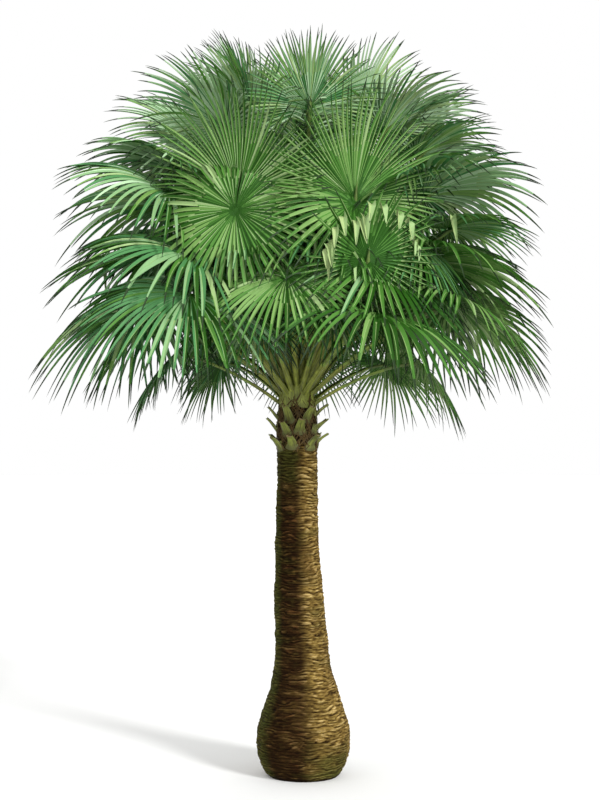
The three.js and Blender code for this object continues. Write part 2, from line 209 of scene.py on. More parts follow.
# The darker green of the other half of a leaflet, past its fold: painted shade, as if that side were turned
# from the light. The same darker greens paint the shade in the valleys and the middle of a fan.
SHADED_HALF_GREENS = dict(deep="deep", green="deep", fresh="green", light="green", blue="deep", grey="blue",
                  bloom="grey")
DARKER = np.array([GREENS.index(SHADED_HALF_GREENS.get(word, "green")) for word in GREENS])
# Shares of the leaflets with one green on both halves, and of the folds with a light line, which is a
# painted highlight.
PLAIN_SHARE = .3
LIT_SHARE = .6
# How many rows of a fan's joined part are painted dark as shade. One is drawn for each leaflet.
STAR_ROWS = (0, 1, 1, 2, 2, 3, 4)


def stray(number, use):
    """A number between -1 and 1 that is always the same for the same frond and use."""
    wave = math.sin(number * 12.9898 + use * 78.233) * 43758.5453
    return 2 * (wave - math.floor(wave)) - 1


def smooth(t):
    """An eased step from 0 to 1."""
    s = np.clip(t, 0, 1)
    return s * s * (3 - 2 * s)


def taper(start, end, t):
    return start + (end - start) * t


def axis_x(height):
    """How far the middle of the trunk leans along X at a height."""
    return LEAN * smooth((height - LEAN_FROM) / (LEAN_TO - LEAN_FROM))


def trunk_radius(height):
    heights, radii = zip(*TRUNK_STATIONS)
    return np.interp(height, heights, radii)


def axis_point(height):
    """The middle of the trunk at a height, or at each of many."""
    return np.stack([axis_x(height), 0 * height, height], axis=-1)


def circle(turn):
    """The level direction at a bearing in radians, or at each of many."""
    return np.stack([np.cos(turn), np.sin(turn), 0 * turn], axis=-1)


def unit(vectors):
    return vectors / np.linalg.norm(vectors, axis=-1, keepdims=True)


def skin_places(across, along):
    """Places on a skin, for parts of the way across it and lengths along it."""
    return np.stack(np.broadcast_arrays(across, along), axis=-1)


def lattice_noise(points, size, seed):
    """Smooth noise between -1 and 1 at points, with bumps of the given size along x, y and z."""
    place = points / np.asarray(size) + seed * 7.31
    cell = np.floor(place)
    part = place - cell
    part = part * part * (3 - 2 * part)
    total = np.zeros(len(points))
    for corner in np.ndindex(2, 2, 2):
        at = cell + corner
        wave = np.sin(at @ np.array([127.1, 311.7, 74.7]) + seed * 19.19) * 43758.5453
        share = np.prod(np.where(corner, part, 1 - part), axis=1)
        total += share * (2 * (wave - np.floor(wave)) - 1)
    return total


class Frond:
    """One frond of a whorl, with its own place, directions and size."""

    def __init__(self, whorl, bearing, number):
        by = {word: most * stray(number, use) for use, (word, most) in enumerate(STRAYS.items(), 1)}
        turn = math.radians(bearing + by["bearing"])
        pitch = math.radians(whorl["pitch"] + by["pitch"])
        roll = math.radians(whorl["roll"] + by["roll"])
        self.outward, self.across = circle(turn), circle(turn + math.pi / 2)
        level = -math.sin(pitch) * self.outward + math.cos(pitch) * UP
        self.forward = math.cos(pitch) * self.outward + math.sin(pitch) * UP
        self.face = math.cos(roll) * level + math.sin(roll) * self.across
        self.side = math.cos(roll) * self.across - math.sin(roll) * level
        self.number, self.foot, self.sag = number, whorl["foot"], whorl["sag"]
        self.root = axis_point(self.foot) + (trunk_radius(self.foot) - PETIOLE_SEAT) * self.outward
        reach = whorl["reach"] * (1 + by["reach"])
        self.hub = axis_point(whorl["height"] + by["height"]) + reach * self.outward
        self.blade = whorl["radius"] * (1 + by["radius"])
        self.open = math.radians(whorl["spread"])
        sunny = whorl["green"] == "blue" and self.outward[0] > SUNNY_FROM
        self.green = "sunny" if sunny else whorl["green"]
        self.snap = whorl.get("snap", 1 if whorl["pitch"] < STEEP else 0)
        self.star = whorl.get("star", 0)


def lay_out_fronds():
    """All fronds of the crown. The inner ones come after those of the solids."""
    fronds = []
    for row in WHORLS + INNER_WHORLS:
        whorl = dict(zip(WHORL_WORDS, row))
        for bearing in whorl["bearings"]:
            fronds.append(Frond(whorl, bearing, len(fronds)))
    return fronds


# Meshes

def put_in_scene(name, data):
    made = bpy.data.objects.new(name, data)
    bpy.context.scene.collection.objects.link(made)
    return made


class Shape:
    """Corners and faces of one piece as they are gathered, with a material slot for each face."""

    def __init__(self):
        self.corners, self.faces, self.slots, self.places, self.total = [], [], [], [], 0

    def add(self, corners, faces, slot, places=None):
        corners = np.asarray(corners, float).reshape(-1, 3)
        faces = np.asarray(faces, int)
        self.corners.append(corners)
        self.faces.append(faces + self.total)
        self.slots.append(np.broadcast_to(slot, len(faces)).astype(int))
        self.places.append(np.zeros((len(corners), 2)) if places is None else np.reshape(places, (-1, 2)))
        self.total += len(corners)

    def piece(self, name, materials):
        corners = np.concatenate(self.corners)
        mesh = bpy.data.meshes.new(name)
        mesh.vertices.add(len(corners))
        mesh.vertices.foreach_set("co", corners.astype(np.float32).ravel())
        sizes = np.concatenate([np.full(len(f), f.shape[1]) for f in self.faces])
        loops = np.concatenate([f.ravel() for f in self.faces])
        mesh.loops.add(len(loops))
        mesh.loops.foreach_set("vertex_index", loops.astype(np.int32))
        mesh.polygons.add(len(sizes))
        starts = np.concatenate([[0], np.cumsum(sizes)[:-1]])
        mesh.polygons.foreach_set("loop_start", starts.astype(np.int32))
        mesh.polygons.foreach_set("material_index", np.concatenate(self.slots).astype(np.int32))
        mesh.polygons.foreach_set("use_smooth", np.full(len(sizes), True))
        place = mesh.uv_layers.new(name="along")
        place.data.foreach_set("uv", np.concatenate(self.places)[loops].astype(np.float32).ravel())
        mesh.update(calc_edges=True)
        if mesh.validate():
            raise RuntimeError(f"{name}: the mesh has a face that isn't valid")
        for material in materials:
            mesh.materials.append(material)
        made = put_in_scene(name, mesh)
        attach(made, "root")
        return made


def grid_faces(rows, columns, closed=False):
    """The quads of a grid of corners that are counted row by row."""
    row = np.arange(rows - 1)[:, None] * columns
    column = np.arange(columns if closed else columns - 1)[None, :]
    over = (column + 1) % columns
    quads = np.stack([row + column, row + over, row + columns + over, row + columns + column], axis=-1)
    return quads.reshape(-1, 4)


def centre_faces(count):
    """The triangles from a ring of corners to the one that comes after them, in their middle."""
    ring = np.arange(count)
    return np.stack([np.full(count, count), ring, (ring + 1) % count], axis=1)


# Fans

class Fan(Shape):
    """One whole fan: a pleated blade out to the cuts, then free leaflets with a rib and a drawn-out tip."""

    def __init__(self, frond, leaf):
        super().__init__()
        self.frond, self.leaf, self.face = frond, leaf, frond.face
        self.chance = chance = np.random.default_rng(700 + frond.number)
        self.count = count = LEAFLETS * leaf.finer
        reach = frond.open if frond.open < CLOSED else math.pi - BACK_GAP
        step = 2 * reach / count
        self.slope = math.tan(step / 2)
        self.edges = -reach + np.arange(count + 1) * step
        self.middles = self.edges[:-1] + step / 2
        self.cuts = SPLIT + leaf.cut_stray * chance.uniform(-1, 1, count + 1)
        self.rooted = (self.cuts[:-1] + self.cuts[1:]) / 2
        self.length = self.lengths(self.middles)
        self.half = self.rooted * self.length * self.slope
        self.run, self.across = self.directions(self.middles)
        self.line_green, mix = MIXES[frond.green]
        picked = np.searchsorted(np.cumsum(list(mix.values())), chance.random(count) * .999)
        self.tones = np.array([GREENS.index(word) for word in mix])[picked]
        # Painted shade: most leaflets have a darker green on the half past the fold.
        self.others = np.where(chance.random(count) < PLAIN_SHARE, self.tones, DARKER[self.tones])
        cut_row = self.add_joined_part()
        self.add_free_part(cut_row)

    def directions(self, angle):
        """The directions along and across a leaflet at an angle from the forward one."""
        forward, side = self.frond.forward, self.frond.side
        cos, sin = np.cos(angle)[..., None], np.sin(angle)[..., None]
        return cos * forward + sin * side, cos * side - sin * forward

    def lengths(self, angle):
        return self.frond.blade * (1 - BACK_SHORT * (angle / self.frond.open) ** 2)

    def points(self, angle, along, bend):
        """Where leaflets at an angle from the forward direction run, at parts of their lengths."""
        run, _ = self.directions(angle)
        length = self.lengths(angle)
        free = np.maximum(along - SPLIT, 0)
        level = np.where(run[..., 2] > 0, np.sqrt(np.maximum(.04, 1 - run[..., 2] ** 2)), 1)
        raised = length * (CUP * along - BOW * along ** 2 + bend * free ** 2)
        hang = length * self.frond.sag * level * along ** 3
        return (self.frond.hub + run * (length * along)[..., None] + self.face * raised[..., None]
                - UP * hang[..., None])

    def wavering(self):
        """A number for each leaflet, near 0 for most."""
        return self.chance.normal(0, 1, self.count).clip(-2, 2)

    def add_joined_part(self):
        """Adds the blade out to the cuts, in rows of corners from ridge to ridge. Returns the last row."""
        count, fold = self.count, self.leaf.fold
        shares = JOINED_SHARES[:, None]
        along_edge, along_middle = shares * self.cuts, shares * self.rooted
        ridge = self.points(np.broadcast_to(self.edges, along_edge.shape), along_edge, 0)
        valley = self.points(np.broadcast_to(self.middles, along_middle.shape), along_middle, 0)
        edge_lift = fold / 2 * along_edge * self.lengths(self.edges) * self.slope
        ridge = ridge + self.face * edge_lift[..., None]
        valley = valley - self.face * (fold / 2 * shares * self.half)[..., None]
        rib = (VALLEY_RIB * shares * self.half)[..., None]
        line = (RIDGE_LINE * shares * self.half)[..., None]
        across_edge = self.directions(self.edges)[1]
        rows = len(JOINED_SHARES)
        joined = np.zeros((rows, 4 * count, 3))
        joined[:, 0::4] = ridge[:, :-1] + across_edge[:-1] * line
        joined[:, 1::4] = valley - self.across * rib
        joined[:, 2::4] = valley + self.across * rib
        joined[:, 3::4] = ridge[:, 1:] - across_edge[1:] * line
        places = np.zeros((rows, 4 * count, 2))
        places[..., 0] = np.tile(ACROSS_LEAFLET, count)
        places[..., 1] = shares * SPLIT * self.frond.blade
        self.add(joined, grid_faces(rows, 4 * count), self.joined_greens(), places)
        centre = self.frond.hub + self.face * HUB_RISE
        self.add(np.vstack([joined[0], centre]), centre_faces(4 * count)[:-1], DEEP)
        return joined[-1]

    def joined_greens(self):
        """The greens of the joined part: painted highlights on its folds, painted shade in its valleys, and
        a dark middle of painted shade that runs out as a star.
        """
        lit = self.chance.random(self.count) < LIT_SHARE
        lines = np.where(lit, GREENS.index(self.line_green), self.tones)
        # The painted highlights are on the folds that stand out on the side seen from outside the crown,
        # and the painted shade is in the valleys between them.
        near, far = DARKER[self.others], lines
        if self.face @ self.frond.outward <= 0:
            near, far = far, near
        column = np.arange(4 * self.count - 1)
        leaflet = column // 4
        greens = [dealt[leaflet] for dealt in (self.tones, near, self.others, far)]
        slots = np.tile(np.choose(column % 4, greens), (len(JOINED_SHARES) - 1, 1))
        dark_to = self.chance.choice(STAR_ROWS, self.count)[leaflet] + (column % 4 == 2)
        row = np.arange(len(slots))[:, None]
        # Painted shade: the middle of a fan is darker out to these rows, and further on fans with a wider
        # star.
        slots = np.where(row < dark_to + self.frond.star, DARKER[slots], slots)
        slots[0] = DARKER[slots[0]]
        return slots.ravel()

    def add_free_part(self, cut_row):
        """Adds the free part of every leaflet, from its corners at the cuts to its tip."""
        count, leaf, rooted = self.count, self.leaf, self.rooted
        share = FREE_SHARES[None, :]
        ends = rooted + (1 - rooted) * (1 - leaf.short * self.chance.random(count))
        sway = leaf.sway * self.wavering()
        bend = leaf.lift * self.wavering()
        droop = leaf.droop * self.chance.random(count)
        twist = leaf.twist * self.wavering()
        along = rooted[:, None] + (ends - rooted)[:, None] * share
        spine = self.points(self.middles[:, None] + sway[:, None] * share ** 1.6, along, bend[:, None])
        spine = spine - UP * ((self.length * droop)[:, None] * share ** 2.2)[..., None]
        width = self.half[:, None] * np.interp(share, WIDTH_AT, WIDTH_SHARE)
        snapped_at = self.hang_ends(ends, spine, width)

        heading = unit(np.gradient(spine, axis=1))
        cross = self.across[:, None, :]
        cross = unit(cross - heading * (cross * heading).sum(-1, keepdims=True))
        above = np.cross(heading, cross)
        turn = (twist[:, None] * share ** 1.5)[..., None]
        cos, sin = np.cos(turn), np.sin(turn)
        cross, above = cross * cos + above * sin, above * cos - cross * sin
        margin = width[..., None] * cross
        lift = (leaf.fold / 2 * width)[..., None] * above
        rib = np.minimum(leaf.rib_width / 2 * (1 - .6 * share), .3 * width)[..., None] * cross
        free = np.stack(
            [spine - margin + lift, spine - rib - lift, spine + rib - lift, spine + margin + lift], axis=2)
        free[:, 0] = cut_row.reshape(count, 4, 3)

        # Every station but the last has four corners, and the last one is the tip.
        stations = len(FREE_SHARES)
        corners = np.concatenate([free[:, :-1].reshape(count, -1, 3), spine[:, -1:]], axis=1)
        reached = np.concatenate([np.repeat(along[:, :-1], 4, axis=1), along[:, -1:]], axis=1)
        places = np.zeros(corners.shape[:2] + (2,))
        places[:, :-1, 0] = np.tile(ACROSS_LEAFLET, stations - 1)
        places[:, -1, 0] = .5
        places[..., 1] = reached * self.frond.blade
        quads, tips = grid_faces(stations - 1, 4), [[0, 1, 4], [1, 2, 4], [2, 3, 4]]
        outer = np.where(self.tones == LIGHT, FRESH, np.where(self.tones == FRESH, GREEN, self.tones))
        station = np.arange(stations - 2)
        # The rib down the middle of a free leaflet is pale: partly its own colour and partly a painted
        # highlight.
        middle = np.where(station >= stations - 5, TIP, RIB)
        for number in range(count):
            tone = np.where(station < 5, self.tones[number], outer[number])
            other = np.full(stations - 2, self.others[number])
            if snapped_at[number]:
                hanging = station >= snapped_at[number] - 1
                tone, other = np.where(hanging, PALE, tone), np.where(hanging, LIGHT, other)
            else:
                tone[-2:] = other[-2:] = TIP
            slots = np.stack([tone, middle, other], axis=1).ravel()
            self.add(corners[number], quads, slots, places[number])
            self.add(corners[number, -5:], tips, TIP, places[number, -5:])

    def hang_ends(self, ends, spine, width):
        """Lets some ends of rising leaflets hang over, and returns at which station each snaps, or 0."""
        share_snapped = self.leaf.snapped * self.frond.snap
        rising = self.run[:, 2] > RISING_FROM
        snapped = self.chance.random(self.count) < np.where(rising, share_snapped, 0)
        at = 1 + (self.chance.random(self.count) * 4).astype(int)
        front = self.face if self.face @ self.frond.outward > 0 else -self.face
        for number in np.flatnonzero(snapped):
            start = at[number]
            swing = HANGING_SWING * self.chance.normal() * self.across[number]
            fall = unit(-UP + (max(front[2], 0) + HANGING_LEAN) * front + swing)
            rest = HANGING_LENGTH * (ends[number] - self.rooted[number]) * self.length[number]
            beyond = rest * (FREE_SHARES[start:] - FREE_SHARES[start])
            spine[number, start:] = spine[number, start] + fall * beyond[:, None]
            spine[number, start + 1:] += front * HANGING_GAP
            left = 1 - beyond / beyond[-1]
            width[number, start:] = HANGING_WIDTH * self.half[number] * left ** HANGING_TAPER
        return np.where(snapped, at, 0)


# Stalks

def petiole_line(frond, t):
    """Middle of the stalk and its heading, between its foot at 0 and the fan at 1."""
    foot, hub = frond.root, frond.hub
    span = hub - foot
    crest = foot + PETIOLE_CREST * span + PETIOLE_ARCH * np.linalg.norm(span) * UP
    t = np.asarray(t)[..., None]
    middle = foot * (1 - t) ** 2 + crest * 2 * t * (1 - t) + hub * t ** 2
    return middle, unit((crest - foot) * (1 - t) + (hub - crest) * t)


# Section of a stalk as parts of its half width and its depth: a shallow channel above, a keel below.
STALK_SECTION = np.array([(1, .3), (.55, .22), (0, .14), (-.55, .22), (-1, .3), (-.92, -.08),
                          (-.5, -.55), (0, -.7), (.5, -.55), (.92, -.08)])


def petiole_shape(shape, frond, stalk):
    """Adds one stalk with its broad foot, its teeth and the short rib under its fan."""
    t = np.linspace(0, 1, 30) ** .9
    middle, heading = petiole_line(frond, t)
    middle = middle - frond.face * (HUB_THICKNESS / 2 * smooth((t - .8) / .2))[:, None]
    ease = smooth((t - .72) / .28)[:, None]
    cross = unit(frond.across * (1 - ease) + frond.side * ease)
    cross = unit(cross - heading * (cross * heading).sum(-1, keepdims=True))
    above = np.cross(heading, cross)
    narrow = np.sqrt(t)
    wide = min(PETIOLE_WIDTHS[0], PETIOLE_FOOT_SHARE * trunk_radius(frond.foot))
    half = taper(wide, PETIOLE_WIDTHS[1], narrow) / 2
    depth = taper(*PETIOLE_DEPTHS, narrow)
    rings = (middle[:, None, :] + cross[:, None, :] * (half[:, None] * STALK_SECTION[:, 0])[..., None]
             + above[:, None, :] * (depth[:, None] * STALK_SECTION[:, 1])[..., None])
    out = frond.hub + frond.forward * RIB_REACH * frond.blade - frond.face * RIB_DEPTH
    sides = len(STALK_SECTION)
    rings = np.concatenate([rings, np.broadcast_to(out, (1, sides, 3))])
    faces = grid_faces(len(rings), sides, closed=True)
    greener_from = t + .03 * stray(frond.number, 11)
    slots = np.repeat(np.searchsorted(STALK_PARTS, greener_from), sides)
    across_skin = np.arange(sides) / sides
    places = skin_places(across_skin, (np.append(t, 1.1) * 1.5)[:, None])
    shape.add(rings, faces, slots, places)
    shape.add(rings[0], np.arange(sides)[None, ::-1], 0)
    turn = math.atan2(-frond.across[0], frond.across[1])
    clasp(shape, turn, low=frond.foot - .1, rise=.17, wide=2.1 * wide, top_wide=.9 * wide, proud=.022)
    if stalk.teeth:
        stalk_teeth(shape, t, rings, heading, cross, above, stalk)


def stalk_teeth(shape, t, rings, heading, cross, above, stalk):
    """Teeth along both margins of a stalk, smaller towards the fan."""
    count = stalk.teeth
    where = TEETH_FROM + TEETH_FOR * (np.arange(count) + .5) / count
    at = np.interp(where, t, np.arange(len(t)))
    for sign, corner in ((1, 0), (-1, 4)):
        for number in range(count):
            low = int(at[number])
            part = at[number] - low
            spot = rings[low, corner] * (1 - part) + rings[low + 1, corner] * part
            size = stalk.tooth * (1 - .5 * where[number])
            along, out_side, over = heading[low], cross[low] * sign, above[low]
            seat = spot - out_side * .002
            shape.add([seat - along * size * .35, seat + along * size * .35, seat - over * size * .3,
                       spot + out_side * size + along * size * .25], [[0, 1, 3], [1, 2, 3], [2, 0, 3]], 0)


# Leaf bases

def boot_frames():
    """Foot, heading, width direction, length and number of each cut leaf base."""
    for row, (height, count) in enumerate(BOOT_ROWS):
        for place in range(count):
            number = sum(many for _, many in BOOT_ROWS[:row]) + place
            turn = 2 * math.pi * (place + row / 2 + BOOT_STRAY * stray(number, 7)) / count
            length = BOOT_LENGTH * (1 + BOOT_STRAY * stray(number, 8))
            at = height + BOOT_STRAY_HEIGHT * stray(number, 9)
            outward, across = circle(turn), circle(turn + math.pi / 2)
            heading = math.cos(BOOT_RISE) * outward + math.sin(BOOT_RISE) * UP
            foot = axis_point(at) + (trunk_radius(at) - BOOT_SEAT) * outward
            yield number, foot, heading, across, length


# Section of a leaf base as parts of its half width and its depth, round the channel and the keel.
BOOT_SECTION = np.array([(-1, .35), (-1.02, .12), (-.86, -.25), (-.55, -.58), (-.2, -.68), (.2, -.68),
                         (.55, -.58), (.86, -.25), (1.02, .12), (1, .35), (.84, .33), (.6, .14), (.3, .02),
                         (0, -.02), (-.3, .02), (-.6, .14), (-.84, .33)])
# Sides of the section that are its dry margins, and the material slots of the leaf bases.
MARGIN_SIDES = (8, 9, 16, 0)
SKIN, CUT, MARGIN = range(3)


def boot_shape(shape, number, foot, heading, across, length, base):
    """Adds one cut leaf base, hollow above and keeled below, with its broad foot and a ragged end."""
    above = np.cross(heading, across)
    chance = np.random.default_rng(90 + number)
    turn = math.atan2(-across[0], across[1])
    clasp(shape, turn, low=foot[2] - .01, rise=.1, wide=.135, top_wide=.75 * BOOT_WIDTHS[0], proud=.02)
    t = np.linspace(0, 1, 14)
    half = taper(*BOOT_WIDTHS, t) / 2 * (1 + .05 * np.sin(7 * t + number))
    depth = taper(*BOOT_DEPTHS, t)
    curl = -base.curl * t ** 2.5 + .006 * np.sin(4 * t + number)
    lean = .012 * stray(number, 10) * t ** 2
    ragged = base.ragged * chance.uniform(-1, .4, len(BOOT_SECTION))
    ragged += .3 * base.ragged * BOOT_SECTION[:, 0] * stray(number, 12)
    reach = length * t[:, None] + ragged[None, :] * smooth((t[:, None] - .6) / .4)
    ridges = 1 + .04 * np.cos(np.arange(len(BOOT_SECTION)) * 2.4 + number)
    rings = (foot + heading * reach[..., None]
             + across * (half[:, None] * BOOT_SECTION[:, 0] * ridges + lean[:, None])[..., None]
             + above * (depth[:, None] * BOOT_SECTION[:, 1] + curl[:, None])[..., None])
    sides = len(BOOT_SECTION)
    across_skin = np.arange(sides) / sides + number
    places = skin_places(across_skin, (length * t)[:, None])
    slots = np.where(np.isin(np.arange(sides), MARGIN_SIDES), MARGIN, SKIN)
    shape.add(rings, grid_faces(len(t), sides, closed=True), np.tile(slots, len(t) - 1), places)
    centre = rings[-1].mean(axis=0) - heading * .006
    shape.add(np.vstack([rings[-1], centre]), centre_faces(sides), CUT)


def clasp(shape, turn, low, rise, wide, top_wide, proud):
    """The broad foot of a leaf base or stalk, wrapped on the trunk and drawn in towards its top."""
    t = np.linspace(0, 1, 9)[:, None]
    u = np.linspace(-1, 1, 11)[None, :]
    height = low + rise * t + .02 * u ** 2 * (1 - t)
    half = taper(wide, top_wide, smooth(t * 1.1)) / 2
    radius = trunk_radius(height) + proud * (.25 + .75 * t) * (1 - u ** 2) ** .6 + .003
    around = turn + half * u / trunk_radius(low)
    corners = axis_point(height) + radius[..., None] * circle(around)
    places = skin_places(u * .5 + turn, rise * t)
    shape.add(corners, grid_faces(9, 11), 0, places)


def fibre_shape(base):
    """Flat brown strands that cross over the trunk between the leaf bases and the lowest stalks."""
    chance = np.random.default_rng(31)
    shape = Shape()
    for _ in range(base.strands):
        low = chance.uniform(2.9, 3.62)
        turn = chance.uniform(0, 2 * math.pi)
        lean = chance.choice((-1, 1)) * chance.uniform(.15, .9)
        length = chance.uniform(.1, .24)
        wide = chance.uniform(.002, .006)
        proud = chance.uniform(.003, .016)
        t = np.linspace(0, 1, 6)
        height = low + length * math.cos(lean) * t
        radius = trunk_radius(height) + proud * (.4 + np.sin(math.pi * t) * .6)
        around = turn + length * math.sin(lean) * t / radius
        outward = circle(around)
        middle = axis_point(height) + radius[:, None] * outward
        heading = unit(np.gradient(middle, axis=0))
        cross = np.cross(heading, outward) * (wide * np.array([.5, .9, 1, 1, .8, .2]))[:, None]
        corners = np.stack([middle - cross, middle + outward * wide * .5, middle + cross], axis=1)
        shape.add(corners, grid_faces(6, 3), 0)
    return shape


# Bark

def ring_relief(points, bark):
    """How far the wavy ring scars stand out at points of the plain trunk, and how uneven they are."""
    wander = .8 * lattice_noise(points, (.3, .3, .16), 1)
    wander += 1.15 * lattice_noise(points, (.11, .11, .048), 2)
    phase = points[:, 2] / bark.ring_spacing + .85 * wander
    saw = phase - np.floor(phase)
    body = .5 + .35 * saw + .12 * np.sin(math.pi * saw)
    crack = np.clip(1 - np.abs(saw - .88) / .2, 0, 1) ** 1.2 + np.clip(1 - (saw + .12) / .2, 0, 1) ** 1.2
    broken = smooth(.5 + 1.15 * lattice_noise(points * [1, 1, 2.4], (.052, .052, .052), 3))
    fine = lattice_noise(points, (.028, .028, .011), 4)
    relief = body * (.75 + .25 * broken) - (.1 + .9 * broken) * .75 * crack + .25 * fine
    return relief, .2 * wander + .15 * fine


def bark_shape(bark):
    """The trunk with its ring scars, and how proud, how overgrown and how deep in painted shade each corner
    of it is.
    """
    around = bark.around
    ringed = np.linspace(0, RINGED_TO, bark.rows)
    heights = np.concatenate([ringed, np.linspace(RINGED_TO, TRUNK_TOP, 34)[1:]])
    turn = np.arange(around) * 2 * math.pi / around
    height, theta = (part.ravel() for part in np.meshgrid(heights, turn, indexing="ij"))
    # The bends between the stations are smoothed, but not close to the ground.
    radius = trunk_radius(height)
    for reach in (.03, .06):
        radius = (radius + trunk_radius(np.maximum(height - reach, 0))
                  + trunk_radius(np.minimum(height + reach, TRUNK_TOP))) / 3
    radius = np.where(height < .06, trunk_radius(height), radius)
    outward = circle(theta)
    points = outward * radius[:, None] + height[:, None] * UP
    relief, uneven = ring_relief(points, bark)
    fade = smooth((3.1 - height) / .2) * smooth((height + .01) / .05)
    swell = .007 * lattice_noise(points, (.3, .3, .22), 5)
    swell += .006 * lattice_noise(points, (.13, .13, .07), 6)
    radius = radius + fade * (bark.ring_depth * (relief - .62) + swell)
    corners = axis_point(height) + radius[:, None] * outward
    places = np.stack([theta / (2 * math.pi), height / 3], axis=1)
    shape = Shape()
    rows = len(heights)
    shape.add(corners, grid_faces(rows, around, closed=True), 0, places)
    cap = centre_faces(around)
    for row, faces in ((0, cap[:, ::-1]), (rows - 1, cap)):
        edge = corners[row * around:(row + 1) * around]
        shape.add(np.vstack([edge, edge.mean(axis=0)]), faces, 0)
    low, upper = smooth(1.2 - height / .34), smooth((height - 2.45) / .35)
    # Painted shade: darker and redder on the sides turned from the main light, with uneven edges.
    painted_shade = np.maximum.reduce([patch(theta, *place) for place in PAINTED_SHADE_PATCHES]) + uneven
    # Olive moss, which on the left rim is also painted green reflected light.
    growth_and_reflection = np.maximum.reduce([patch(theta, *place) for place in SIDE_GROWTH_AND_REFLECTION] + [
        patch(theta, *FOOT_GROWTH) * low, patch(theta, *UPPER_GROWTH) * upper]) + .9 * uneven
    # The corners of the caps come last, and all of them are alike.
    caps = 2 * (around + 1)
    return (shape, *(np.append(np.clip(values, 0, 1), np.full(caps, rest))
                     for values, rest in ((relief * fade, .4), (painted_shade, .3), (growth_and_reflection, .3))))


def patch(bearings, middle, reach, fade, strength):
    """The strength where a bearing is close to the middle one, and down to 0 at the reach from it."""
    apart = np.abs((np.degrees(bearings) - middle + 180) % 360 - 180)
    return strength * (1 - smooth((apart - reach + fade) / fade))


# Materials

class Finish:
    """A material and short ways to add and join its nodes."""

    def __init__(self, name, roughness=.5):
        self.material = bpy.data.materials.new(name)
        self.material.use_nodes = True
        self.tree = self.material.node_tree
        self.skin = self.tree.nodes["Principled BSDF"].inputs
        self.put(self.skin["Roughness"], roughness)

    def put(self, target, value):
        """Joins an output to an input, or gives the input a plain value."""
        if isinstance(value, bpy.types.NodeSocket):
            self.tree.links.new(value, target)
        else:
            target.default_value = (*value, 1) if target.type == "RGBA" else value

    def node(self, kind, output, **values):
        """Adds a node with its inputs and settings, and returns one of its outputs."""
        made = self.tree.nodes.new("ShaderNode" + kind)
        for name, value in values.items():
            if name in made.inputs:
                self.put(made.inputs[name], value)
            else:
                setattr(made, name, value)
        return made.outputs[output]

    def object_place(self):
        return self.node("TexCoord", "Object")

    def along(self):
        return self.node("UVMap", "UV", uv_map="along")

    def stretched(self, place, by):
        return self.node("Mapping", "Vector", Vector=place, Scale=by)

    def noise(self, place, scale, detail=3.):
        return self.node("TexNoise", "Fac", Vector=place, Scale=scale, Detail=detail, Roughness=.55)

    def bands(self, place, direction, **values):
        return self.node("TexWave", "Fac", Vector=place, bands_direction=direction, **values)

    def ramp(self, source, *stops):
        """Colours from one stop to the next, each a number and its colour."""
        made = self.node("ValToRGB", "Color", Fac=source)
        points = made.node.color_ramp.elements
        while len(points) < len(stops):
            points.new(.5)
        for point, (at, colour) in zip(points, stops):
            point.position = at
            point.color = (*colour, 1)
        return made

    def mix(self, part, one, other, blend_type="MIX"):
        made = self.node("Mix", 2, data_type="RGBA", blend_type=blend_type)
        for number, value in ((0, part), (6, one), (7, other)):
            self.put(made.node.inputs[number], value)
        return made

    def span(self, source, low, high, start=0., stop=1.):
        return self.node("MapRange", "Result", Value=source, **{
            "From Min": start, "From Max": stop, "To Min": low, "To Max": high})

    def colour(self, value):
        self.put(self.skin["Base Color"], value)

    def rough(self, source, low, high, start=.3, stop=.7):
        """Roughness between low and high, over the middle of what a noise gives."""
        self.put(self.skin["Roughness"], self.span(source, low, high, start, stop))

    def bump(self, height, distance):
        """Relief, on top of what the skin has so far."""
        normal = self.skin["Normal"]
        under = {"Normal": link.from_socket for link in normal.links}
        self.put(normal, self.node("Bump", "Normal", Height=height, Distance=distance, **under))


def dimmed(colour, share):
    return tuple(share * part for part in colour)


def leaf_finish(name, colour):
    """Satin leaf with fine veins along it. Its green is plain, and is dealt out leaflet by leaflet."""
    finish = Finish("leaf_" + name)
    finish.colour(colour)
    finish.put(finish.skin["Specular IOR Level"], .24)
    place = finish.stretched(finish.along(), (1, .02, 1))
    finish.bump(finish.bands(place, "X", Scale=2.6, Distortion=.6, Detail=1.), .0006)
    finish.rough(finish.noise(finish.object_place(), 9.), .4, .62)
    return finish.material


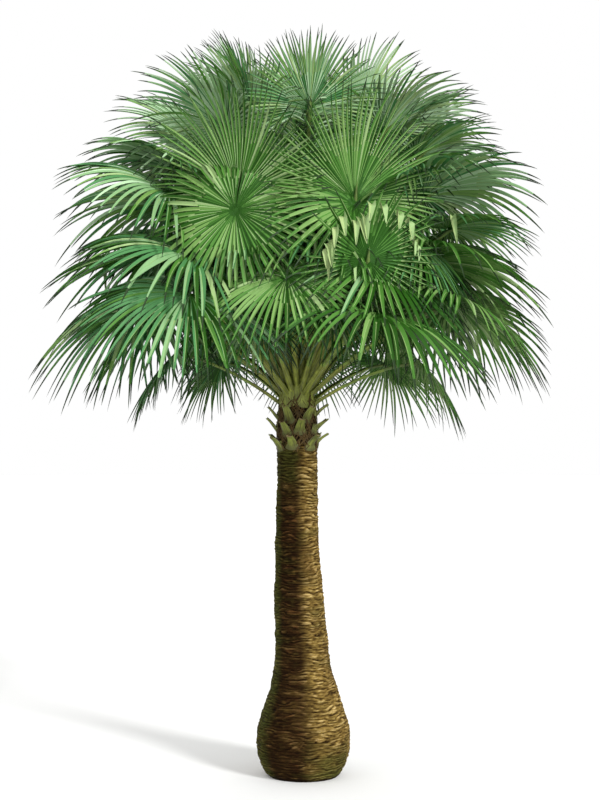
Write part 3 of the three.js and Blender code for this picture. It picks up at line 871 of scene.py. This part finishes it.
def bark_finish(bark):
    """Brown ring-scarred bark: painted shade in the cracks, ochre up to a painted highlight on the worn
    crests, painted shade on the sides turned from the main light, and olive patches of moss.
    """
    finish = Finish("bark_ringed", .85)
    place = finish.object_place()
    proud, painted_shade, growth_and_reflection = (finish.node("Attribute", "Fac", attribute_name=name)
                           for name in ("proud", "painted_shade", "growth_and_reflection"))
    # Painted shade and highlight: the colour follows the height of the relief, near-black in the cracks and
    # pale on the crests.
    base = finish.ramp(proud, (.16, bark.crack), (.42, bark.brown), (.66, bark.ochre), (.93, bark.crest))
    stain = finish.span(finish.noise(place, 2.6), 0, .8, .5, .68)
    rusty = finish.ramp(proud, (.15, bark.crack), (.5, bark.brown), (.9, bark.rust))
    base = finish.mix(stain, base, rusty)
    # Painted shade: the dark red-brown on the sides of the trunk turned from the main light.
    shaded_bark = finish.ramp(proud, (.2, dimmed(bark.crack, .5)), (.7, bark.painted_shade), (1, bark.rust))
    base = finish.mix(finish.span(painted_shade, 0, .97), base, shaded_bark)
    olive = finish.ramp(proud, (.12, bark.crack), (.5, bark.olive), (.95, bark.moss))
    base = finish.mix(finish.span(growth_and_reflection, 0, .85), base, olive)
    # Fine wrinkles and grain between the ring scars. The dark low bands of the wrinkles are painted shade
    # in their creases.
    lines = finish.bands(finish.stretched(place, (.4, .4, 1)), "Z", Scale=14., Distortion=11., Detail=3.,
                         **{"Detail Scale": .55, "Detail Roughness": .6})
    grain = finish.noise(finish.stretched(place, (1, 1, 3.5)), 46., 5.)
    base = finish.mix(.62, base, finish.ramp(lines, (.1, (.45, .38, .32)), (.4, WHITE)), "MULTIPLY")
    base = finish.mix(.7, base, finish.ramp(grain, (.3, (.42, .4, .38)), (.62, WHITE)), "MULTIPLY")
    finish.colour(base)
    finish.rough(grain, .72, .95)
    finish.put(finish.skin["Specular IOR Level"], .06)
    finish.bump(lines, .004)
    finish.bump(grain, .006)
    finish.bump(finish.noise(place, 160., 4.), .002)
    return finish.material


def streaked_finish(name, light, dark, along_scale, rough, shaded_foot=0.):
    """Fibrous green wood with streaks along it, for the leaf bases and the stalks, with painted shade
    darkening it towards the foot.
    """
    finish = Finish(name, rough)
    along = finish.along()
    place = finish.object_place()
    streaks = finish.noise(finish.stretched(along, along_scale), 5., 4.)
    patches = finish.noise(place, 12.)
    skin = finish.ramp(streaks, (.32, dark), (.6, light))
    skin = finish.mix(finish.span(patches, 0, .6, .4, .7), skin, dimmed(dark, .5))
    # Painted shade: darker towards the foot of a leaf base, where it meets the trunk.
    if shaded_foot:
        way = finish.node("SeparateXYZ", "Y", Vector=along)
        skin = finish.mix(finish.span(way, .85, 0, 0, shaded_foot), skin, dark)
    finish.colour(skin)
    finish.rough(streaks, rough - .12, rough + .12)
    finish.bump(streaks, .0016)
    finish.bump(finish.noise(place, 240.), .0006)
    return finish.material


def cut_finish(base):
    """Pale, ragged cut with the ends of fibres showing."""
    finish = Finish("boot_cut", .85)
    cells = finish.node("TexVoronoi", "Distance", Vector=finish.object_place(), Scale=260.)
    finish.colour(finish.ramp(cells, (.1, base.fibre), (.5, base.cut)))
    finish.rough(cells, .7, .95, 0., 1.)
    finish.bump(cells, .0015)
    return finish.material


def fibre_finish(base):
    """Dry brown fibre."""
    finish = Finish("sheath_fibre", .9)
    place = finish.object_place()
    threads = finish.noise(finish.stretched(place, (1, 1, .3)), 60., 4.)
    finish.colour(finish.ramp(threads, (.3, dimmed(base.fibre, .4)), (.65, base.fibre)))
    finish.rough(threads, .8, .98)
    finish.bump(threads, .001)
    return finish.material


def floor_finish(stage):
    """Matt pale floor."""
    finish = Finish("floor_matt", .9)
    grain = finish.noise(finish.object_place(), 3.)
    finish.colour(finish.mix(grain, stage.floor_colour, dimmed(stage.floor_colour, .985)))
    finish.rough(grain, .85, .95, 0., 1.)
    finish.bump(finish.noise(finish.object_place(), 60.), .0005)
    return finish.material


# Settings

def count_setting(name, description, default, low, high):
    return bpy.props.IntProperty(name=name, description=description, default=default, min=low, max=high)


def number_setting(name, description, default, high, subtype="NONE"):
    return bpy.props.FloatProperty(
        name=name, description=description, default=default, min=0, max=high, subtype=subtype)


def length_setting(name, description, default, low, high):
    return bpy.props.FloatProperty(
        name=name, description=description, default=default, min=low, max=high, unit="LENGTH")


def colour_setting(name, description, default):
    return bpy.props.FloatVectorProperty(
        name=name, description=description, default=default, subtype="COLOR", size=3, min=0, max=1)


class PalmBark(bpy.types.PropertyGroup):
    around: count_setting("Corners around", "Corners of the bark in each row", 140, 24, 220)
    rows: count_setting("Rows", "Rows of corners up the ringed part of the trunk", 660, 60, 900)
    ring_spacing: length_setting("Ring spacing", "Height from one ring scar to the next", .035, .01, .2)
    ring_depth: length_setting("Ring depth", "How far a crest stands out over its crack", .018, 0, .04)
    # Painted shade colour for the sides of the trunk turned from the main light.
    painted_shade: colour_setting("Painted shade side", "Dark red-brown of the shaded side", (.019, .005, .001))
    # The crack colour is painted shade in the grooves. The pale crest colour is wear and also a painted
    # highlight.
    crack: colour_setting("Crack", "Colour in the cracks between the rings", (.015, .006, .001))
    brown: colour_setting("Brown", "Colour low on the rings", (.105, .064, .016))
    ochre: colour_setting("Ochre", "Colour high on the rings", (.285, .19, .048))
    crest: colour_setting("Crest", "Colour of the worn crests", (.68, .50, .20))
    rust: colour_setting("Rust", "Colour of the stained patches", (.11, .042, .011))
    # Olive and moss are growth on the bark, and on the left rim also a painted green reflection.
    olive: colour_setting("Olive", "Colour of the patches of growth", (.052, .060, .010))
    moss: colour_setting("Moss", "Colour of the growth on the crests", (.125, .145, .030))


class PalmLeaf(bpy.types.PropertyGroup):
    finer: count_setting("Finer leaflets", "Leaflets in place of each one of the solid", 3, 1, 4)
    fold: number_setting("Fold", "Height of a leaflet's fold for its half width", 1., 2)
    rib_width: length_setting("Rib width", "Width of the rib in the fold", .005, .001, .02)
    cut_stray: number_setting("Cut stray", "How unevenly deep the cuts between leaflets are", .07, .2)
    short: number_setting("Shorter", "By how much a leaflet may be shorter than the longest", .14, .5)
    sway: number_setting("Sway", "How far a leaflet swings sideways", .035, .3, "ANGLE")
    lift: number_setting("Lift", "How far a leaflet lifts or sinks from the blade", .16, 1)
    droop: number_setting("Droop", "How far a tip hangs for its length", .05, .5)
    twist: number_setting("Twist", "How far a leaflet turns about its rib", .45, 3.1, "ANGLE")
    snapped: number_setting(
        "Snapped ends", "Share of the rising leaflets whose ends hang over", .02, 1, "FACTOR")
    deep: colour_setting("Deep green", "Shaded green near the middle of a fan", (.021, .096, .005))
    green: colour_setting("Green", "Middle green", (.073, .214, .030))
    fresh: colour_setting("Fresh green", "Yellow-green of young fans", (.168, .322, .080))
    light: colour_setting("Light green", "Lightest leaflets", (.325, .475, .20))
    blue: colour_setting("Blue-green", "Green of the older fans", (.074, .236, .076))
    # The grey-green is partly a bloom on the leaflets and partly a painted highlight.
    grey: colour_setting("Grey-green", "Light bloom on older leaflets", (.232, .412, .185))
    bloom: colour_setting("Bloom", "Lightest grey-green of the young fans", (.44, .63, .385))
    tip: colour_setting("Tip", "Dry, dark tips", (.028, .055, .020))
    pale: colour_setting("Underside", "Pale underside of ends that hang over", (.34, .45, .18))
    # The pale rib is partly its own colour and partly a painted highlight along the leaflet.
    rib: colour_setting("Rib", "Rib in the fold of a leaflet", (.28, .40, .15))


class PalmStalk(bpy.types.PropertyGroup):
    teeth: count_setting("Teeth", "Teeth on each margin of a stalk", 16, 0, 60)
    tooth: length_setting("Tooth", "Length of a tooth at the stalk's foot", .012, 0, .04)
    foot: colour_setting("Foot", "Olive brown of a stalk's foot", (.42, .48, .078))
    middle: colour_setting("Middle", "Olive green of a stalk's middle", (.37, .56, .09))
    top: colour_setting("Top", "Green of a stalk under its fan", (.22, .36, .09))
    shade: colour_setting("Streaks", "Dark streaks along a stalk", (.085, .095, .015))


class PalmBase(bpy.types.PropertyGroup):
    curl: length_setting("Curl", "How far the end of a leaf base bends out", .022, 0, .06)
    ragged: length_setting("Ragged", "Unevenness of the cut end", .012, 0, .04)
    strands: count_setting("Strands", "Strands of fibre between the leaf bases", 900, 0, 4000)
    skin: colour_setting("Skin", "Olive skin of a leaf base", (.37, .44, .075))
    streak: colour_setting("Streak", "Brown streaks of a leaf base", (.062, .058, .012))
    margin: colour_setting("Margin", "Dry margins of a leaf base", (.50, .52, .22))
    cut: colour_setting("Cut", "Pale cut end", (.40, .31, .15))
    fibre: colour_setting("Fibre", "Brown fibre", (.12, .072, .016))


class PalmStage(bpy.types.PropertyGroup):
    floor_size: length_setting("Floor size", "Radius of the floor", 60, 5, 200)
    floor_colour: colour_setting("Floor", "Colour of the pale floor", (.91, .91, .9))
    sky: number_setting("Soft light", "Strength of the light from above", 1.6, 5)
    key: number_setting("Main light", "Strength of the light from the right front", 3.1, 20)


# Operators

class PALM_OT_bark(bpy.types.Operator):
    """Builds the trunk's ringed bark in place of the plain trunk"""
    bl_idname = "palm.bark"
    bl_label = "Bark"

    def execute(self, context):
        bark = context.scene.palm_bark
        shape, proud, painted_shade, growth_and_reflection = bark_shape(bark)
        trunk = shape.piece("trunk_bark", [bark_finish(bark)])
        for name, values in (("proud", proud), ("painted_shade", painted_shade), ("growth_and_reflection", growth_and_reflection)):
            made = trunk.data.attributes.new(name, "FLOAT", "POINT")
            made.data.foreach_set("value", values.astype(np.float32))
        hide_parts("trunk")
        return {"FINISHED"}


class PALM_OT_leaf_bases(bpy.types.Operator):
    """Builds the cut leaf bases under the crown and the fibre between them"""
    bl_idname = "palm.leaf_bases"
    bl_label = "Leaf bases"

    def execute(self, context):
        base = context.scene.palm_base
        shape = Shape()
        for boot in boot_frames():
            boot_shape(shape, *boot, base)
        skin = streaked_finish("boot_skin", base.skin, base.streak, (6, 1.2, 1), .62, shaded_foot=.13)
        margin = streaked_finish("boot_margin", base.margin, base.streak, (5, 3, 1), .75)
        boots = shape.piece("leaf_bases", [skin, cut_finish(base), margin])
        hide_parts(*BOOT_NODES)
        fibre = fibre_shape(base).piece("sheath_fibre", [fibre_finish(base)])
        return {"FINISHED"}


class PALM_OT_stalks(bpy.types.Operator):
    """Builds the toothed stalks that carry the fans"""
    bl_idname = "palm.stalks"
    bl_label = "Stalks"

    def execute(self, context):
        stalk = context.scene.palm_stalk
        finishes = [streaked_finish("stalk_" + name, getattr(stalk, name), stalk.shade, (5, .8, 1), .45)
                    for name in ("foot", "middle", "top")]
        shape = Shape()
        for frond in lay_out_fronds():
            petiole_shape(shape, frond, stalk)
        stalks = shape.piece("stalks", finishes)
        return {"FINISHED"}


class PALM_OT_fans(bpy.types.Operator):
    """Builds one pleated fan of fine leaflets in place of each frond"""
    bl_idname = "palm.fans"
    bl_label = "Fans"

    def execute(self, context):
        leaf = context.scene.palm_leaf
        greens = [leaf_finish(name, getattr(leaf, name)) for name in GREENS]
        for number, frond in enumerate(lay_out_fronds()):
            inner = number - len(FROND_NODES)
            name = f"inner_fan_{inner + 1:02d}" if inner >= 0 else f"fan_{number + 1:02d}"
            fan = Fan(frond, leaf).piece(name, greens)
            if inner < 0:
                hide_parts(FROND_NODES[number])
        return {"FINISHED"}


class PALM_OT_stage(bpy.types.Operator):
    """Sets up the pale floor, the soft light and the camera"""
    bl_idname = "palm.stage"
    bl_label = "Stage"

    def execute(self, context):
        stage = context.scene.palm_stage
        scene = context.scene
        turn = np.arange(FLOOR_CORNERS) * 2 * math.pi / FLOOR_CORNERS
        rim = circle(turn) * stage.floor_size
        mesh = bpy.data.meshes.new("floor")
        mesh.from_pydata(rim.tolist(), [], [list(range(FLOOR_CORNERS))])
        mesh.materials.append(floor_finish(stage))
        floor = put_in_scene("floor", mesh)

        world = bpy.data.worlds.new("soft_light")
        world.use_nodes = True
        sky = world.node_tree.nodes["Background"]
        sky.inputs["Color"].default_value = (1, 1, 1, 1)
        sky.inputs["Strength"].default_value = 1
        world.cycles_visibility.diffuse = False
        world.cycles_visibility.glossy = False
        floor.visible_diffuse = False
        floor.visible_glossy = False
        floor.visible_shadow = False
        scene.world = world

        # Main light from the right front, a dome above, and weak light from the sides, the back and below.
        for name, strength, angle, tilt, swing in (
                ("main_light", stage.key, 12, 66, 40), ("dome_light", stage.sky, 170, 8, 0),
                ("left_light", .95 * stage.sky, 120, 86, -36), ("back_light", stage.sky, 120, 72, 190),
                ("right_light", .6 * stage.sky, 120, 94, 66), ("low_light", .4 * stage.sky, 170, 180, 0)):
            lamp = bpy.data.lights.new(name, "SUN")
            lamp.energy = strength
            lamp.angle = math.radians(angle)
            put_in_scene(name, lamp).rotation_euler = (math.radians(tilt), 0, math.radians(swing))

        lens = bpy.data.cameras.new("camera")
        lens.sensor_fit = "VERTICAL"
        lens.sensor_height = FILM_HEIGHT
        lens.lens = LENS
        scene.camera = put_in_scene("camera", lens)
        scene.camera.location = CAMERA_PLACE
        scene.camera.rotation_euler = (math.pi / 2, 0, 0)
        scene.view_settings.view_transform = "Standard"
        return {"FINISHED"}


class PALM_PT_sidebar(bpy.types.Panel):
    """Lists the pieces of the palm and the settings that they are built from"""
    bl_idname = "PALM_PT_sidebar"
    bl_label = "Cabbage-tree palm"
    bl_space_type = "VIEW_3D"
    bl_region_type = "UI"
    bl_category = "Palm"

    def draw(self, context):
        for operator, settings in STEPS:
            box = self.layout.box()
            box.operator(operator.bl_idname)
            group = getattr(context.scene, settings)
            for name in group.__annotations__:
                box.prop(group, name)


SETTINGS = (("palm_bark", PalmBark), ("palm_leaf", PalmLeaf), ("palm_stalk", PalmStalk),
            ("palm_base", PalmBase), ("palm_stage", PalmStage))
STEPS = ((PALM_OT_bark, "palm_bark"), (PALM_OT_leaf_bases, "palm_base"), (PALM_OT_stalks, "palm_stalk"),
         (PALM_OT_fans, "palm_leaf"), (PALM_OT_stage, "palm_stage"))


def register():
    for _, group in SETTINGS:
        bpy.utils.register_class(group)
    for operator, _ in STEPS:
        bpy.utils.register_class(operator)
    bpy.utils.register_class(PALM_PT_sidebar)
    for name, group in SETTINGS:
        setattr(bpy.types.Scene, name, bpy.props.PointerProperty(type=group))


def unregister():
    for name, _ in SETTINGS:
        delattr(bpy.types.Scene, name)
    bpy.utils.unregister_class(PALM_PT_sidebar)
    for operator, _ in reversed(STEPS):
        bpy.utils.unregister_class(operator)
    for _, group in reversed(SETTINGS):
        bpy.utils.unregister_class(group)


def main():
    register()
    bpy.ops.palm.bark()
    bpy.ops.palm.leaf_bases()
    bpy.ops.palm.stalks()
    bpy.ops.palm.fans()
    bpy.ops.palm.stage()


if __name__ == "__main__":
    main()
